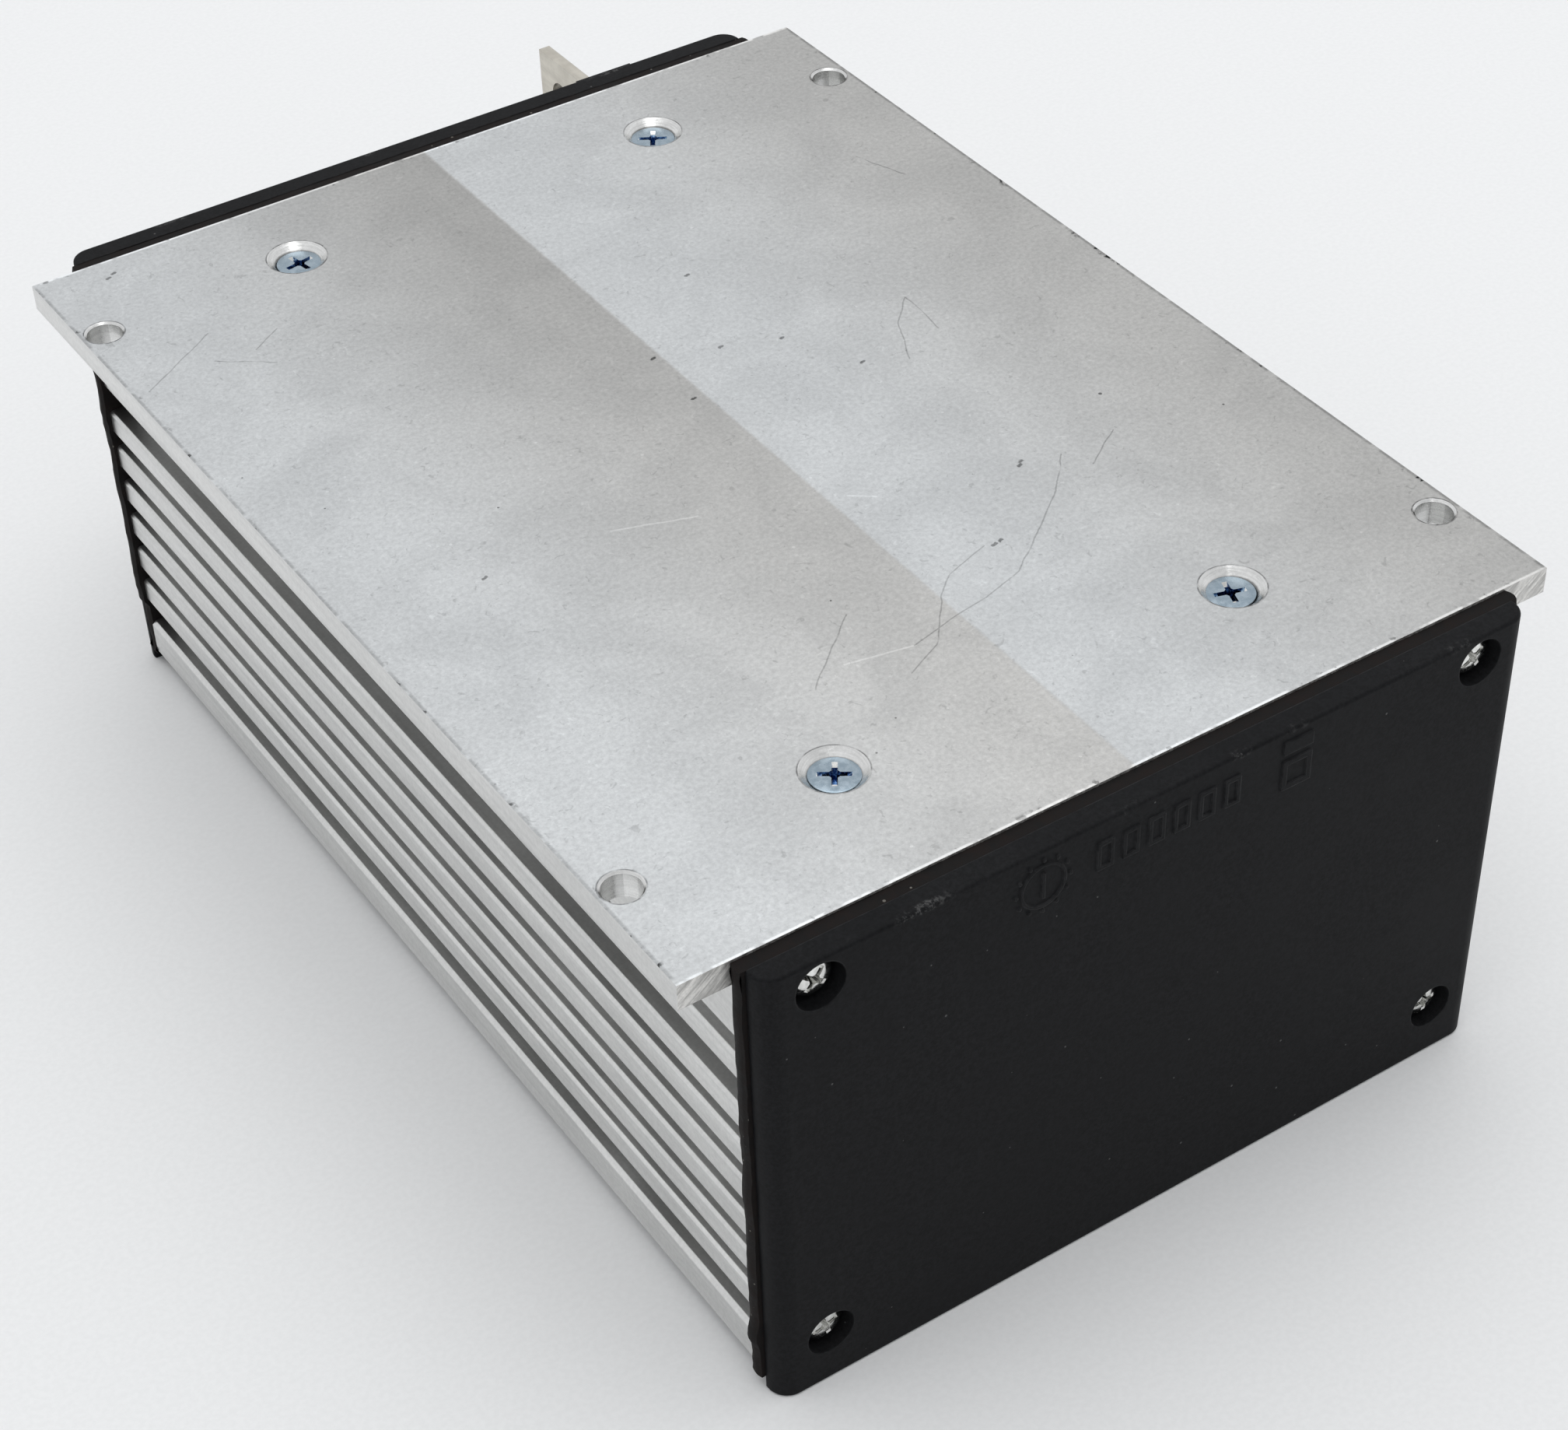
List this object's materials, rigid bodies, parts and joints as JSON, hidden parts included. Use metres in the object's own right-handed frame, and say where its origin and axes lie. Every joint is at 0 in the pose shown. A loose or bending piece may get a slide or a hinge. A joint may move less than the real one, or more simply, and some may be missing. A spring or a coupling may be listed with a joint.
{
  "type": "sealed power inverter",
  "caption": "Sealed power inverter in a finned aluminium tube with a flat winged roof, moulded end caps on gaskets and blade terminals at one end.",
  "frame": {"origin": "middle of the flat roof, the face that is bolted to a cooling plate", "axes": "+Z out of the flat roof, +Y along the tube towards the terminals, +X across the wings"},
  "size_m": [0.17, 0.2701, 0.0964],
  "materials": {
    "extrusion": "as extruded, faint die lines, light scratches",
    "milled_aluminium": "milled",
    "cap_plastic": "glass-filled, fine matte",
    "gasket_rubber": "die-cut, matte",
    "seal_rubber": "moulded, matte",
    "zinc_screw": "bright zinc plate",
    "thermal_silicone": "matte",
    "power_laminate": "white solder mask",
    "green_laminate": "green solder mask",
    "chip_plastic": "moulded epoxy",
    "tinned_copper": "dull tin plate",
    "capacitor_sleeve": "shrink sleeve, bare end",
    "brass_spacer": "turned brass",
    "insulating_film": "film",
    "connector_plastic": "satin",
    "pin_brass": "plated"
  },
  "bodies": {
    "root": {"housing_tube": "extrusion", "front_cap": "cap_plastic", "front_gasket": "gasket_rubber", "front_cap_screws": "zinc_screw", "rear_cap": "cap_plastic", "rear_gasket": "gasket_rubber", "rear_cap_screws": "zinc_screw", "roof_screws": "zinc_screw", "thermal_sheet": "thermal_silicone", "heat_spreader": "milled_aluminium", "power_board": "power_laminate", "power_board_screws": "zinc_screw", "transistors": "chip_plastic", "busbar_positive": "tinned_copper", "busbar_negative": "tinned_copper", "capacitor_board": "green_laminate", "capacitors": "capacitor_sleeve", "short_spacers": "brass_spacer", "long_spacers": "brass_spacer", "control_board": "green_laminate", "control_screws": "zinc_screw", "processor": "chip_plastic", "gate_drivers": "chip_plastic", "supply_parts": "chip_plastic", "riser_board": "green_laminate", "riser_sockets": "connector_plastic", "insulating_sheet": "insulating_film", "terminal_phase_u": "tinned_copper", "terminal_phase_v": "tinned_copper", "terminal_phase_w": "tinned_copper", "terminal_positive": "tinned_copper", "terminal_negative": "tinned_copper", "terminal_grommets": "seal_rubber", "current_sensors": "chip_plastic", "connector_body": "connector_plastic", "connector_pins": "pin_brass", "connector_seal": "seal_rubber"}
  },
  "joints": []
}
